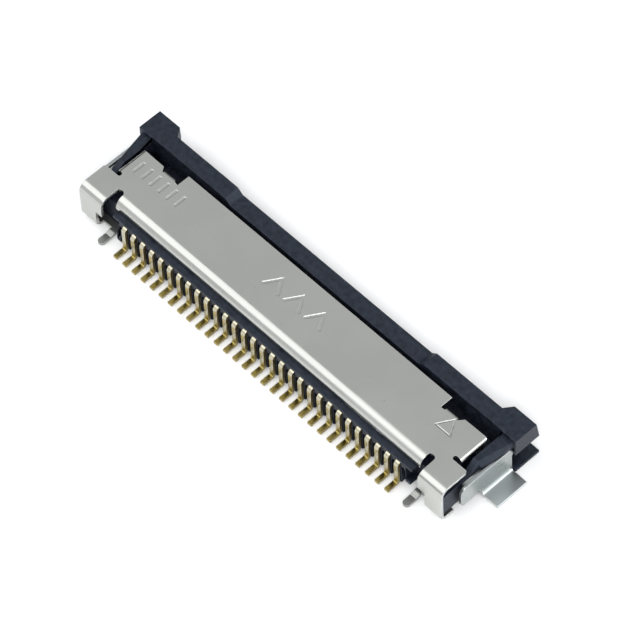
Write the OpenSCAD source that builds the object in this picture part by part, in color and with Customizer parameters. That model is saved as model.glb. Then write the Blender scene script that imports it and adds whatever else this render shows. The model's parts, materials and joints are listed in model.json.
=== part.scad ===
// Horizontal board connector for a flat flexible cable, 0.5 mm pitch, one row of 30 contacts.
// A black moulded housing carries the formed contacts. A sheet metal cover lies in the frame of the
// housing and hangs on two end brackets by narrow necks. Pressed at its front edge it tips down and
// draws its two latch arms out of the notches of the cable.
// The origin is on the board, at the middle of the row of contact feet. +Y points to the cable side.

/* [Contact row] */
// Number of contacts in the row
contact_count = 30; // [6:1:30]
// Distance from one contact to the next
pitch = 0.5; // [0.5:0.05:0.7]
// Width of a contact strip
contact_w = 0.2; // [0.16:0.01:0.22]
// Thickness of a contact strip
contact_t = 0.12; // [0.1:0.01:0.14]
// Length of the flat foot that is soldered
foot_len = 0.43; // [0.35:0.01:0.5]
// Height of the contact where it enters the housing
contact_top = 1.34; // [1.3:0.01:1.36]
// Inner radius of the bend between foot and stem
heel_r = 0.07; // [0.05:0.01:0.1]
// Inner radius of the bend at the top of the stem
knee_r = 0.08; // [0.06:0.01:0.12]
// Length of the straight root held in the rear wall
root_len = 0.6; // [0.5:0.02:0.7]
// Downward slope of the spring beam
beam_slope = 10; // [7:0.5:11]
// Length of the spring beam
beam_len = 1.62; // [1.5:0.02:1.7]
// Length of the turned-up tip of the beam
tip_len = 0.16; // [0.1:0.02:0.24]

/* [Housing] */
// Overall height of the corner blocks above the board
housing_h = 2.0; // [1.95:0.01:2.1]
// Distance from the last contact to the end of the housing
end_len = 2.71; // [2.7:0.01:2.9]
// Front face of the housing, from the row of feet
front_y = 4.88; // [4.8:0.02:5.2]
// Height of the deck under the cover
deck_z = 1.46; // [1.44:0.01:1.46]
// Gap between the board and the underside
lift = 0.05; // [0.03:0.01:0.08]
// Floor of the cable slot
slot_floor = 0.66; // [0.62:0.01:0.7]
// Height of the cable slot
slot_h = 0.4; // [0.36:0.01:0.44]
// Width of the cable with its side ears beyond the outer contacts, on each side
cable_margin = 1.2; // [1.16:0.01:1.22]
// Play of the cable in its slot, on each side
cable_gap = 0.1; // [0.05:0.01:0.12]
// Width of the frame beside the cover, at the corner block
arm_w = 0.71; // [0.68:0.01:0.75]
// Top of the side arms
arm_top = 1.8; // [1.76:0.01:1.84]
// Rear face of the front bar
bar_y = 3.67; // [3.64:0.01:3.72]
// Depth of the raised ends of the front bar
bar_d = 0.69; // [0.66:0.01:0.72]
// Drop of the long middle part of the front bar
bar_drop = 0.23; // [0.15:0.01:0.26]
// Half length of the lowered middle part of the bar
bar_low_half = 5.0; // [1:0.1:5.2]
// Length of the sloping step at each end of the lowered part
bar_step = 0.27; // [0.2:0.01:0.35]
// Corner block, length along the row
block_w = 1.38; // [1.36:0.01:1.4]
// Height of the underside of the corner block
block_under = 1.1; // [1.05:0.01:1.2]
// How far the top of the corner block stands back from the front face
block_back = 0.16; // [0.1:0.01:0.2]
// Thickness of the foot plate under each corner block
foot_plate_t = 0.14; // [0.1:0.01:0.2]
// Width of the groove between two tail ribs
groove_w = 0.2; // [0.16:0.01:0.24]
// Depth of the groove between two tail ribs
groove_d = 0.22; // [0.15:0.01:0.28]
// Top of the grooves
groove_top = 1.16; // [1.1:0.01:1.2]

/* [Cover] */
// Thickness of the cover sheet
sheet = 0.13; // [0.12:0.01:0.14]
// Upper face of the cover
cover_top = 1.95; // [1.94:0.01:1.98]
// Gap between the cover and the arms of the housing
cover_gap = 0.13; // [0.1:0.01:0.15]
// Front edge of the cover between the lock tabs
cover_front = 3.44; // [3.4:0.01:3.5]
// Front edge of the cover at its ends
ear_front = 3.09; // [3.05:0.01:3.12]
// Rear face of the rolled rear edge
roll_y = 0.7; // [0.68:0.01:0.74]
// Outer radius of the rolled rear edge
roll_r = 0.45; // [0.4:0.01:0.46]
// Width of a lock tab
lock_tab_w = 0.61; // [0.5:0.01:0.65]
// Distance from the last contact to a lock tab
lock_tab_off = -0.08; // [-0.1:0.01:0]
// Lower edge of the lock tabs
lock_tab_z = 1.5; // [1.48:0.01:1.6]
// Outer radius of the bends at the front and side edges of the cover
edge_r = 0.2; // [0.16:0.01:0.22]
// Width of the leg and of the tooth of a latch hook
latch_w = 0.3; // [0.26:0.01:0.32]
// Top of the latch tooth at rest
latch_z = 0.88; // [0.84:0.01:0.88]
// Underside of the latch hook at rest
latch_low = 0.36; // [0.35:0.01:0.4]
// Tilt of the cover when it is pressed right down, in degrees
press_angle = 8; // [6:0.5:8]

/* [End brackets] */
// Width of the end tab of a bracket
tab_w = 1.2; // [1.1:0.01:1.22]
// Distance from the end of the housing to the end tab
tab_inset = 0.36; // [0.34:0.01:0.4]
// Width of the notch between cover and end tab
notch_w = 0.32; // [0.28:0.01:0.34]
// End of the rear notch
rear_notch_y = 1.23; // [1.2:0.01:1.25]
// Front edge of the end tab
tab_front = 1.58; // [1.55:0.01:1.6]
// Width of the front notch
front_notch_w = 0.2; // [0.18:0.01:0.22]
// Length of metal between rear notch and front notch, along the row
neck_len = 0.4; // [0.36:0.01:0.44]
// Rear face of the bracket wall
wall_y = 0.24; // [0.22:0.01:0.26]
// Outer radius of the upper bend
wall_r = 0.4; // [0.36:0.01:0.44]
// Outer radius of the lower bend
low_bend_r = 0.28; // [0.24:0.01:0.3]
// Underside of the floor plate
floor_z = 0.08; // [0.06:0.01:0.1]
// Front edge of the floor plate
floor_front = 0.88; // [0.84:0.01:0.92]
// Width of the solder tail
tail_w = 0.29; // [0.25:0.01:0.32]
// Rear end of the solder tail
tail_end = -0.21; // [-0.25:0.01:-0.15]

/* [Hold-downs] */
// Rear edge of the side plate
plate_rear = 1.03; // [0.98:0.01:1.08]
// Front edge of the upper part of the side plate
plate_front = 3.5; // [3.46:0.01:3.52]
// Upper edge of the side plate
plate_top = 1.48; // [1.44:0.01:1.48]
// Lower edge of the rear part of the side plate
plate_low = 0.45; // [0.4:0.01:0.5]
// Distance from the end of the housing to the outer face of the side plate
plate_inset = 0.12; // [0.12:0.01:0.15]
// Rear edge of the solder tab
solder_rear = 2.1; // [2.05:0.01:2.15]
// Width of the solder tab
solder_w = 1.5; // [1.4:0.01:1.5]
// Length of the solder tab beyond the side plate
solder_len = 0.76; // [0.7:0.01:0.8]
// Inner radius of the bend of the solder tab
solder_r = 0.1; // [0.08:0.01:0.14]

/* [Hidden] */
function contact_name(i) = str("contact_", i < 10 ? "0" : "", i);
$fn = 48;

// Places along the row
row_half = pitch * (contact_count - 1) / 2;
half_w = row_half + end_len;
frame_half = half_w - arm_w;
cover_half = frame_half - cover_gap;
tab_out = half_w - tab_inset;
tab_in = tab_out - tab_w;
roll_half = tab_in - notch_w;
cable_half = row_half + cable_margin;
slot_half = cable_half + cable_gap;
plate_out = half_w - plate_inset;
plate_in = plate_out - sheet;

// Places across the row
foot_tip = -foot_len / 2;
stem_rear = foot_tip + foot_len + heel_r;
stem_front = stem_rear + contact_t;
rib_rear = stem_front + 0.015;
neck_y = (rear_notch_y + tab_front) / 2;
neck_z = cover_top - sheet / 2;
bar_front = bar_y + bar_d;
slot_top = slot_floor + slot_h;
cover_under = cover_top - sheet;
lock_tab_in = row_half + lock_tab_off;
lock_tab_front = ear_front - 0.03;
floor_rear = wall_y + low_bend_r + 0.05;
floor_in = roll_half - 0.07;
wall_end = roll_half - 0.13;
opening_rear = ear_front - 0.3;

// Latch hook: leg on the outside, foot below the cable, tooth inside
latch_out = cover_half - edge_r;
corner_r = 0.1;
tooth_in = cable_half - 0.4;

// Folded-over leg of a hold-down, between the side plate and the housing
fold_r = 0.01;
fold_rear = 2.5;
fold_len = 0.8;
leg_in = plate_in - 2 * fold_r - sheet;
leg_rear = plate_rear + 0.29;
leg_low = 0.9;
leg_top = plate_top - 0.08;
plate_tip = 0.2;
column_out = leg_in;
play = 0.03;
pocket_gap = 0.08;
far = 40;

// ---------------------------------------------------------------- sheet and strip helpers

// Part of a ring between the +x direction and an angle
module ring_part(r_in, r_out, angle) {
    reach = r_out * 1.6;
    intersection() {
        difference() {
            circle(r = r_out);
            circle(r = r_in);
        }
        polygon([
            [0, 0],
            [reach, 0],
            reach / cos(angle / 2) * [cos(angle / 2), sin(angle / 2)],
            reach * [cos(angle), sin(angle)]
        ]);
    }
}

// Edge view of a bent strip. Each step is [straight length, bend angle, inner radius].
// The strip starts along +x with its lower face on the x axis, and left bends are positive.
module bent_strip(thick, steps, at = 0) {
    run = steps[at][0];
    angle = steps[at][1];
    radius = steps[at][2];
    if (run > 0) square([run, thick]);
    if (angle > 0)
        translate([run, thick + radius]) {
            rotate(-90) ring_part(radius, radius + thick, angle);
            rotate(angle) translate([0, -thick - radius]) bent_strip(thick, steps, at + 1);
        }
    if (angle < 0)
        translate([run, -radius]) {
            rotate(90 + angle) ring_part(radius, radius + thick, -angle);
            rotate(angle) translate([0, radius]) bent_strip(thick, steps, at + 1);
        }
}

// Lays an edge view drawn in y and z along the row, from x = from, over a width
module along_row(from, width) {
    translate([from, 0, 0]) rotate([90, 0, 90]) linear_extrude(width) children();
}

// Lays an edge view drawn in x and z across the row, from y = from, over a width
module across_row(from, width) {
    translate([0, from + width, 0]) rotate([90, 0, 0]) linear_extrude(width) children();
}

// A block between two corners
module block(low, high) {
    translate(low) cube(high - low);
}

// Both ends of the connector
module both_ends() {
    children();
    mirror([1, 0, 0]) children();
}

// ---------------------------------------------------------------- contacts

// One formed contact: foot, stem, knee, root in the rear wall, spring beam, turned-up tip
module contact(x) {
    stem_len = contact_top - 2 * contact_t - heel_r - knee_r;
    beam_r = 0.3;
    tip_angle = 45;
    tip_r = 0.15;
    color([0.72, 0.62, 0.36])
        along_row(x - contact_w / 2, contact_w)
            translate([foot_tip, 0])
                bent_strip(contact_t, [
                    [foot_len, 90, heel_r],
                    [stem_len, -90, knee_r],
                    [root_len, -beam_slope, beam_r],
                    [beam_len, tip_angle, tip_r],
                    [tip_len, 0, 0]
                ]);
}

// ---------------------------------------------------------------- housing

// Clear space for the spring beam of one contact, open to the deck
module beam_channel(x) {
    root_grip = 0.1;
    channel_rear = stem_front + knee_r + root_len - root_grip;
    channel_w = contact_w + 2 * play;
    block(
        [x - channel_w / 2, channel_rear, slot_top - 0.01],
        [x + channel_w / 2, bar_y, far]
    );
    block(
        [x - contact_w / 2, 0, contact_top - contact_t],
        [x + contact_w / 2, channel_rear + 0.01, contact_top]
    );
}

// Round-topped groove between two ribs of the rear wall
module tail_groove(x) {
    translate([x, rib_rear + groove_d, 0]) rotate([90, 0, 0]) linear_extrude(groove_d + 0.1) {
        translate([-groove_w / 2, -0.1]) square([groove_w, groove_top - groove_w / 2 + 0.1]);
        translate([0, groove_top - groove_w / 2]) circle(d = groove_w);
    }
}

// Cable slot with its flared mouth, in plan
module slot_plan() {
    flare = 0.35;
    flare_len = 0.55;
    slot_rear = 1.15;
    mouth_y = front_y - flare_len;
    polygon([
        [-slot_half, slot_rear], [slot_half, slot_rear],
        [slot_half, mouth_y], [slot_half + flare, front_y + 0.1],
        [-slot_half - flare, front_y + 0.1], [-slot_half, mouth_y]
    ]);
}

// Raised frame of the front edge: high ends, sloping steps and a low middle
module front_bar() {
    low = housing_h - bar_drop;
    across_row(bar_y, bar_d) polygon([
        [-half_w + block_w, slot_top], [half_w - block_w, slot_top],
        [half_w - block_w, housing_h], [bar_low_half + bar_step, housing_h],
        [bar_low_half, low], [-bar_low_half, low],
        [-bar_low_half - bar_step, housing_h], [-half_w + block_w, housing_h]
    ]);
}

// Corner block with its splayed inner front corner, lead-in face and foot plate
module corner_block() {
    inner = half_w - block_w;
    root = 0.26;
    splay_rear = 0.27;
    splay_front = 0.45;
    rear = bar_y - 0.02;
    top_front = front_y - block_back;
    difference() {
        intersection() {
            translate([0, 0, block_under]) linear_extrude(housing_h - block_under) polygon([
                [inner - root, bar_front], [inner, bar_front],
                [inner + splay_rear, top_front], [inner + splay_front, front_y], [half_w, front_y],
                [half_w, rear], [inner - root, rear]
            ]);
            along_row(inner - 1, far) polygon([
                [0, 0], [front_y, 0], [front_y, block_under], [top_front, housing_h], [0, housing_h]
            ]);
        }
        block(
            [plate_in - play, 0, 0],
            [plate_out + play, plate_front + plate_tip + play, plate_top + play]
        );
    }
    block([frame_half, rear, 0], [half_w, front_y, foot_plate_t]);
}

// Side wall of the cable mouth, up to the corner block and lower in front of the bar
module mouth_wall() {
    out = frame_half + 0.1;
    block([slot_half, bar_y - 0.1, lift], [out, bar_front, block_under + 0.1]);
    block([slot_half, bar_y, lift], [out, front_y - block_back, slot_top - 0.01]);
}

// Side arm: its ridge draws in towards the rear, its outer side slopes down to the side plate
module side_arm() {
    arm_rear = 1.8;
    slope_start = 2.21;
    ridge_lean = 12.3;
    ridge_x = frame_half + 0.24;
    base_z = plate_top + 0.01;
    intersection() {
        union() {
            translate([0, 0, lift]) linear_extrude(arm_top - lift) polygon([
                [frame_half, arm_rear], [column_out, arm_rear],
                [column_out, bar_y], [frame_half, bar_y]
            ]);
            translate([0, 0, base_z]) linear_extrude(arm_top - base_z) polygon([
                [frame_half, slope_start], [plate_in - 0.02, slope_start],
                [plate_out + 0.01, bar_y], [frame_half, bar_y]
            ]);
        }
        translate([ridge_x, slope_start, 0]) rotate(-ridge_lean) across_row(-1, 3)
            polygon([[-1, 0], [arm_top / 2, 0], [0, arm_top], [-1, arm_top]]);
        along_row(0, far) polygon([
            [arm_rear, 0], [bar_y, 0], [bar_y, arm_top], [slope_start, arm_top],
            [arm_rear, deck_z]
        ]);
    }
}

// Pocket in which a latch hook swings, open above and below
module latch_pocket() {
    swing = (neck_z - latch_low) * sin(press_angle)
        + (ear_front - neck_y) * (1 - cos(press_angle));
    block(
        [tooth_in - pocket_gap, ear_front - sheet - swing - pocket_gap, -far],
        [latch_out + pocket_gap, ear_front + pocket_gap, far]
    );
}

// Trough in the deck under the bent side edge of the cover
module edge_trough() {
    block([latch_out + pocket_gap, tab_front + 0.1, slot_top], [frame_half, bar_y, far]);
}

// Recess at the end of the rear wall that clears the floor plate of the bracket
module end_recess() {
    recess_in = row_half + 0.37;
    rib_end = recess_in + 0.22;
    rib_top = 0.55;
    recess_top = 1.32;
    across_row(0, floor_front) polygon([
        [recess_in, rib_top], [rib_end, rib_top], [rib_end, -1],
        [half_w, -1], [half_w, recess_top], [recess_in, recess_top]
    ]);
}

module housing() {
    end_cut_in = row_half + 0.3;
    end_cut_h = 0.36;
    edge_notch_r = 0.33;
    column_in = tab_out - 0.4;
    column_low = floor_z + low_bend_r + play;
    color([0.17, 0.18, 0.22]) difference() {
        union() {
            difference() {
                block([-wall_end, rib_rear, lift], [wall_end, bar_front, deck_z]);
                both_ends() end_recess();
                block([end_cut_in, 0, -1], [half_w, floor_front, end_cut_h]);
            }
            block([-frame_half, bar_y, lift], [frame_half, front_y, slot_floor]);
            front_bar();
            both_ends() {
                block([wall_end - 0.2, floor_front, lift], [column_out, bar_y, deck_z]);
                block([column_in, wall_y + sheet, column_low], [column_out, floor_front + 0.1, deck_z]);
                mouth_wall();
                corner_block();
                side_arm();
            }
        }
        translate([0, 0, slot_floor]) linear_extrude(slot_h) slot_plan();
        for (i = [0:contact_count - 1]) beam_channel(-row_half + i * pitch);
        for (i = [0:contact_count]) tail_groove(-row_half + (i - 0.5) * pitch);
        block([-frame_half, opening_rear, slot_floor], [frame_half, bar_y, far]);
        both_ends() {
            latch_pocket();
            edge_trough();
            along_row(column_in - 0.05, far)
                translate([floor_front + 0.12, 0.1]) circle(r = edge_notch_r);
        }
    }
}

// ---------------------------------------------------------------- cover and brackets

// Narrow cut with a round closed end at [0, 0], open towards -y
module round_notch(width, end_r) {
    translate([-width / 2, -far]) square([width, far - end_r]);
    translate([-width / 2 + end_r, -end_r - 0.01]) square([width - 2 * end_r, end_r + 0.01]);
    for (side = [-1, 1])
        translate([side * (width / 2 - end_r), -end_r]) circle(r = end_r);
}

// What a round outer corner of the blank leaves off, with the corner at [x, y]
module corner_cut(x, y) {
    translate([x - corner_r, y - corner_r]) difference() {
        square(2 * corner_r);
        circle(r = corner_r);
    }
}

// Right half of the flat blank: cover, neck and end tab before they are bent
module blank_half() {
    slot_w = 0.19;
    relief_y = lock_tab_front - edge_r;
    front_notch_x = tab_in + neck_len;
    lock_tab_out = lock_tab_in + lock_tab_w;
    difference() {
        union() {
            translate([0, roll_y + roll_r]) square([latch_out, ear_front - roll_y - roll_r]);
            translate([0, roll_y + roll_r]) square([lock_tab_in - slot_w, cover_front - roll_y - roll_r]);
            translate([tab_in, wall_y + wall_r]) square([tab_w, tab_front - wall_y - wall_r]);
        }
        translate([roll_half + notch_w / 2, rear_notch_y]) round_notch(notch_w, notch_w / 2 - 0.04);
        translate([front_notch_x, tab_front + front_notch_w / 2])
            rotate(90) round_notch(front_notch_w, front_notch_w / 2 - 0.01);
        translate([lock_tab_in - slot_w, relief_y]) square([slot_w + lock_tab_w, far]);
        polygon([
            [lock_tab_out - 0.01, relief_y], [lock_tab_out + 0.03, relief_y],
            [lock_tab_out + slot_w, ear_front], [lock_tab_out + slot_w, far],
            [lock_tab_out - 0.01, far]
        ]);
        corner_cut(tab_out, tab_front);
    }
}

// What lies on the bracket's side of the neck
module bracket_side() {
    polygon([
        [tab_in - 0.04, rear_notch_y - 0.06],
        [tab_in + neck_len + 0.06, tab_front + 0.04],
        [far, tab_front + 0.04], [far, -far], [tab_in - 0.04, -far]
    ]);
}

// Sheet that leaves the flat at its outer edge, bends down and ends at a lower edge
module down_bend(flat_end, lower_z) {
    translate([flat_end, cover_under])
        bent_strip(sheet, [
            [0, -90, edge_r - sheet],
            [cover_top - edge_r - lower_z, 0, 0]
        ]);
}

// Latch hook in one plane: leg down from the front edge, foot below the cable slot, sloping tooth
module latch_hook() {
    leg_x = latch_out - latch_w;
    foot_h = 0.2;
    chamfer = 0.08;
    foot_top = latch_low + foot_h;
    leg_top = cover_under + sheet / 2;
    difference() {
        across_row(ear_front - sheet, sheet) polygon([
            [latch_out, leg_top], [latch_out, latch_low + chamfer],
            [latch_out - chamfer, latch_low],
            [tooth_in, latch_low], [tooth_in, latch_z], [tooth_in + latch_w, latch_z],
            [tooth_in + latch_w, foot_top], [leg_x, foot_top], [leg_x, leg_top]
        ]);
        along_row(tooth_in - 0.1, latch_w + 0.2)
            translate([ear_front - sheet + 0.02, latch_z]) rotate(-45) square([1, 1]);
    }
}

module cover_half_part() {
    flange_rear = tab_front + front_notch_w;
    translate([0, 0, cover_under]) linear_extrude(sheet) difference() {
        blank_half();
        bracket_side();
    }
    difference() {
        across_row(flange_rear, ear_front - flange_rear)
            down_bend(latch_out, cover_top - edge_r);
        linear_extrude(far) corner_cut(cover_half, ear_front);
    }
    along_row(lock_tab_in, lock_tab_w) down_bend(lock_tab_front - edge_r, lock_tab_z);
    latch_hook();
}

// Rolled rear edge with the small notches where the blanks were cut from their carrier
module rolled_edge() {
    carrier_x = [1, 4, 6];
    carrier_w = 0.4;
    carrier_h = 0.07;
    lower_z = deck_z + 0.02;
    difference() {
        along_row(-roll_half, 2 * roll_half)
            translate([roll_y + roll_r, cover_under])
                mirror([1, 0]) bent_strip(sheet, [
                    [0, -90, roll_r - sheet],
                    [cover_top - roll_r - lower_z, 0, 0]
                ]);
        both_ends() for (x = carrier_x)
            block([x - carrier_w / 2, 0, 0], [x + carrier_w / 2, roll_y + roll_r, lower_z + carrier_h]);
    }
}

module lock_cover() {
    color([0.66, 0.67, 0.65]) {
        both_ends() cover_half_part();
        rolled_edge();
    }
}

// Solder tail of a bracket: leaves the floor plate to the rear and steps down to the board
module solder_tail() {
    step_angle = 20;
    step_r = 0.1;
    lean = 1 - cos(step_angle);
    step_len = (floor_z - (2 * step_r + sheet) * lean) / sin(step_angle);
    step_run = (2 * step_r + sheet) * sin(step_angle) + step_len * cos(step_angle);
    flat_len = floor_rear - 0.05 - step_run - tail_end;
    intersection() {
        along_row(floor_in, tail_w)
            translate([floor_rear, floor_z])
                mirror([1, 0]) bent_strip(sheet, [
                    [0.05, -step_angle, step_r],
                    [step_len, step_angle, step_r],
                    [flat_len, 0, 0]
                ]);
        linear_extrude(far) {
            translate([floor_in, tail_end + tail_w / 2]) square([tail_w, far]);
            translate([floor_in + tail_w / 2, tail_end + tail_w / 2]) circle(d = tail_w);
        }
    }
}

// End bracket: tab on top, wall behind, floor plate below and a tail on the board
module bracket_right() {
    wall_len = cover_top - wall_r - low_bend_r - floor_z;
    shoulder_z = 1.04;
    shoulder_w = 0.35;
    color([0.66, 0.67, 0.65]) {
        translate([0, 0, cover_under]) linear_extrude(sheet) intersection() {
            blank_half();
            bracket_side();
        }
        difference() {
            along_row(tab_in, tab_w)
                translate([wall_y + wall_r, cover_under])
                    mirror([1, 0]) bent_strip(sheet, [
                        [0, -90, wall_r - sheet],
                        [wall_len, -90, low_bend_r - sheet],
                        [floor_front - wall_y - low_bend_r, 0, 0]
                    ]);
            block([0, -far, -far], [tab_in + shoulder_w, floor_rear, shoulder_z]);
        }
        block([floor_in, floor_rear, floor_z], [tab_in + shoulder_w, floor_front, floor_z + sheet]);
        solder_tail();
    }
}

module bracket_left() {
    mirror([1, 0, 0]) bracket_right();
}

// ---------------------------------------------------------------- hold-downs

// Outline of the side plate seen from the side: round rear corner, pointed front
module side_plate_outline() {
    rear_r = 0.33;
    tip_rise = 0.24;
    tip_fall = 0.16;
    solder_front = solder_rear + solder_w;
    difference() {
        polygon([
            [plate_rear, plate_low + 0.15], [plate_rear + 0.1, plate_low],
            [solder_rear, plate_low], [solder_rear, sheet + solder_r],
            [solder_front, sheet + solder_r], [solder_front, plate_top - 0.45],
            [plate_front + plate_tip, plate_top - tip_rise],
            [plate_front + plate_tip, plate_top - tip_fall],
            [plate_front, plate_top], [plate_rear, plate_top]
        ]);
        difference() {
            translate([plate_rear - rear_r, plate_top - rear_r]) square(2 * rear_r);
            translate([plate_rear + rear_r, plate_top - rear_r]) circle(r = rear_r);
        }
    }
}

// Hold-down: side plate, solder tab bent out onto the board, folded-over leg against the housing
module hold_down_right() {
    fold_z = plate_top - fold_r - sheet;
    color([0.68, 0.69, 0.68]) {
        along_row(plate_in, sheet) side_plate_outline();
        across_row(solder_rear, solder_w)
            translate([plate_in, plate_low])
                rotate(-90) bent_strip(sheet, [
                    [plate_low - solder_r - sheet, 90, solder_r],
                    [solder_len - solder_r, 0, 0]
                ]);
        across_row(fold_rear, fold_len)
            translate([plate_out, fold_z])
                rotate(90) bent_strip(sheet, [
                    [0, 90, fold_r],
                    [0, 90, fold_r],
                    [0, 0, 0]
                ]);
        along_row(leg_in, sheet) {
            translate([leg_rear, leg_low]) square([fold_rear - leg_rear, leg_top - leg_low]);
            translate([fold_rear, leg_low]) square([fold_len, fold_z - leg_low]);
        }
    }
}

module hold_down_left() {
    mirror([1, 0, 0]) hold_down_right();
}

housing();
lock_cover();
bracket_left();
bracket_right();
hold_down_left();
hold_down_right();
for (i = [1:contact_count])
    contact(-row_half + (i - 1) * pitch);
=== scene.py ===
# %% [markdown]
# # A board connector for a flat cable, dressed for the camera
# The solids come from CAD and are already right in shape and size. This lesson gives them what a
# drawing leaves out: broken edges, the satin of rolled sheet, the fine matt skin of moulded resin and
# the thin plating on the contacts. Everything is in metres, and the whole object is 21 mm long.

# %% Load the solids
import json
import math

import bmesh
import bpy
from mathutils import Matrix, Vector
from mathutils.bvhtree import BVHTree


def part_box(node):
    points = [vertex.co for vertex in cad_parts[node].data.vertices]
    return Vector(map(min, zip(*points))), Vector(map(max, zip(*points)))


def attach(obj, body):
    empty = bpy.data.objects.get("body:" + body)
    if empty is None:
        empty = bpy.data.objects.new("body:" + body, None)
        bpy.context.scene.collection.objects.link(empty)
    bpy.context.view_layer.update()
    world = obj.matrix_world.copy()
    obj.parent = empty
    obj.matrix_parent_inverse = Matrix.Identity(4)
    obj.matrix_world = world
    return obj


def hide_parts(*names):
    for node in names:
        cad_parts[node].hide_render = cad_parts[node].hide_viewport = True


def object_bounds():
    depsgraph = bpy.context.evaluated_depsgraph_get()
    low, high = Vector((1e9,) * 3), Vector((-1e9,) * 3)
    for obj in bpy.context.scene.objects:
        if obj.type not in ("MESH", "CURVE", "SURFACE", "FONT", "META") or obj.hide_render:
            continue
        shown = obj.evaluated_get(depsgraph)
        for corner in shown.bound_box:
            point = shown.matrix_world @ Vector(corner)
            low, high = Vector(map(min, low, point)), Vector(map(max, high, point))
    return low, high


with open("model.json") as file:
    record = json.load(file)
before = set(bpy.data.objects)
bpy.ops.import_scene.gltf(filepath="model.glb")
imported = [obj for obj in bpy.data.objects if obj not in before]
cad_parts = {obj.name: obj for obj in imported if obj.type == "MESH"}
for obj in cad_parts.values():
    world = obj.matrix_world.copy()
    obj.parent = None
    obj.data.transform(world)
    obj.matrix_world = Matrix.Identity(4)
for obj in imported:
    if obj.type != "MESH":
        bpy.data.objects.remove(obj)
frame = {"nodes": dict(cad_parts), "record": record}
cad_low, cad_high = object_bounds()
MM = 0.001
record = frame["record"]
body_of = {
    node: body for body, nodes in record["behaviour"]["bodies"].items() for node in nodes
}
size_mm = [round(side / MM, 2) for side in cad_high - cad_low]


def linked(name, data):
    """A new object for a mesh, a lamp or a lens, linked to the scene."""
    made = bpy.data.objects.new(name, data)
    bpy.context.scene.collection.objects.link(made)
    return made


print("CAD box in mm:", size_mm, "nodes:", len(frame["nodes"]))

# %% [markdown]
# ## The camera
# A small object looks flat and calm through a long lens from some distance, and bulges through a short
# one from close by. This camera stands 156 mm away with a lens of 240 mm, so the two ends of the row
# keep nearly the same scale. Its three axes are built from an azimuth, an elevation and a small roll,
# which is easier to read and to change than a rotation typed in as numbers.

# %% Place the camera
CAMERA_AT = Vector((67.0639, -55.4641, 129.9033)) * MM
AZIMUTH = math.radians(48.709)
ELEVATION = math.radians(55.580)
ROLL = math.radians(-3.052)
SENSOR_MM = 36.0
LENS_MM = 239.61
NEAREST_SEEN = 0.01
FURTHEST_SEEN = 5.0


def camera_axes(azimuth, elevation, roll):
    """Right, up and back of a camera that looks down at the object."""
    back = Vector((
        math.sin(azimuth) * math.cos(elevation),
        -math.cos(azimuth) * math.cos(elevation),
        math.sin(elevation),
    ))
    level = Vector((math.cos(azimuth), math.sin(azimuth), 0.0))
    above = back.cross(level)
    right = math.cos(roll) * level + math.sin(roll) * above
    up = math.cos(roll) * above - math.sin(roll) * level
    return right, up, back


right, up, back = camera_axes(AZIMUTH, ELEVATION, ROLL)
lens = bpy.data.cameras.new("bench_camera")
lens.lens = LENS_MM
lens.sensor_width = SENSOR_MM
lens.clip_start = NEAREST_SEEN
lens.clip_end = FURTHEST_SEEN
lens.dof.use_dof = False
camera = linked("bench_camera", lens)
camera.matrix_world = Matrix((right, up, back)).transposed().to_4x4()
camera.location = CAMERA_AT
bpy.context.scene.camera = camera
print("camera at", [round(c / MM, 1) for c in CAMERA_AT], "mm")

# %% [markdown]
# ## Placing shader nodes
# The sky, the shared groups and the finishes are all made of nodes. Two functions place them, so that a
# later cell reads like a recipe. Nodes clicked together by hand are quicker once, but they can't be read
# or changed in one place.

# %% Tools for placing nodes
def put_node(tree, kind, settings=None, **inputs):
    """A node with its options set. An input may be a value or another node's output socket."""
    node = tree.nodes.new(kind)
    for option, value in (settings or {}).items():
        setattr(node, option, value)
    for name, value in inputs.items():
        numbered = name.startswith("in") and name[2:].isdigit()
        socket = node.inputs[int(name[2:]) if numbered else name.replace("_", " ")]
        if isinstance(value, bpy.types.NodeSocket):
            tree.links.new(value, socket)
        else:
            socket.default_value = value
    return node


def ramp(tree, value, low, high, at_low=0.0, at_high=1.0):
    """A smooth change from at_low, where the value is low or less, to at_high."""
    node = put_node(
        tree, "ShaderNodeMapRange", {"interpolation_type": "SMOOTHSTEP"},
        Value=value, From_Min=low, From_Max=high, To_Min=at_low, To_Max=at_high,
    )
    return node.outputs[0]


print("node tools ready")

# %% [markdown]
# ## Floor, sky and lamps
# Metal shows little of its own colour: it shows the room. A product photographer surrounds such a part
# with large white panels and leaves one calm grey zone overhead, so flat faces read as an even grey and
# every bend carries a bright band. Area lamps do the same here, and one side of the sky is dark, as a
# black card beside the object would be. A picture of a studio wrapped round the scene would be quicker,
# but nothing in it could be moved. The floor is a plain pale sheet that also fills the shadows from
# below.

# %% Floor
FLOOR_HALF = 0.6
FLOOR_BELOW = 0.02 * MM


def flat_sheet(name, half, height):
    """A square plane at a height, lying level."""
    mesh = bpy.data.meshes.new(name)
    corners = [(-half, -half), (half, -half), (half, half), (-half, half)]
    mesh.from_pydata([(x, y, height) for x, y in corners], [], [(0, 1, 2, 3)])
    return linked(name, mesh)


floor = flat_sheet("floor", FLOOR_HALF, cad_low.z - FLOOR_BELOW)
print("floor is", round(2 * FLOOR_HALF, 2), "m wide")

# %% Lamps
CENTRE = (cad_low + cad_high) / 2


def soft_panel(name, direction, distance, width, height, power):
    """A white panel lamp that faces the middle of the object, in metres and watts."""
    lamp = bpy.data.lights.new(name, "AREA")
    lamp.shape = "RECTANGLE"
    lamp.size = width
    lamp.size_y = height
    lamp.energy = power
    panel = linked(name, lamp)
    towards = Vector(direction).normalized()
    panel.location = CENTRE + towards * distance
    panel.rotation_mode = "QUATERNION"
    panel.rotation_quaternion = towards.to_track_quat("Z", "Y")


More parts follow.
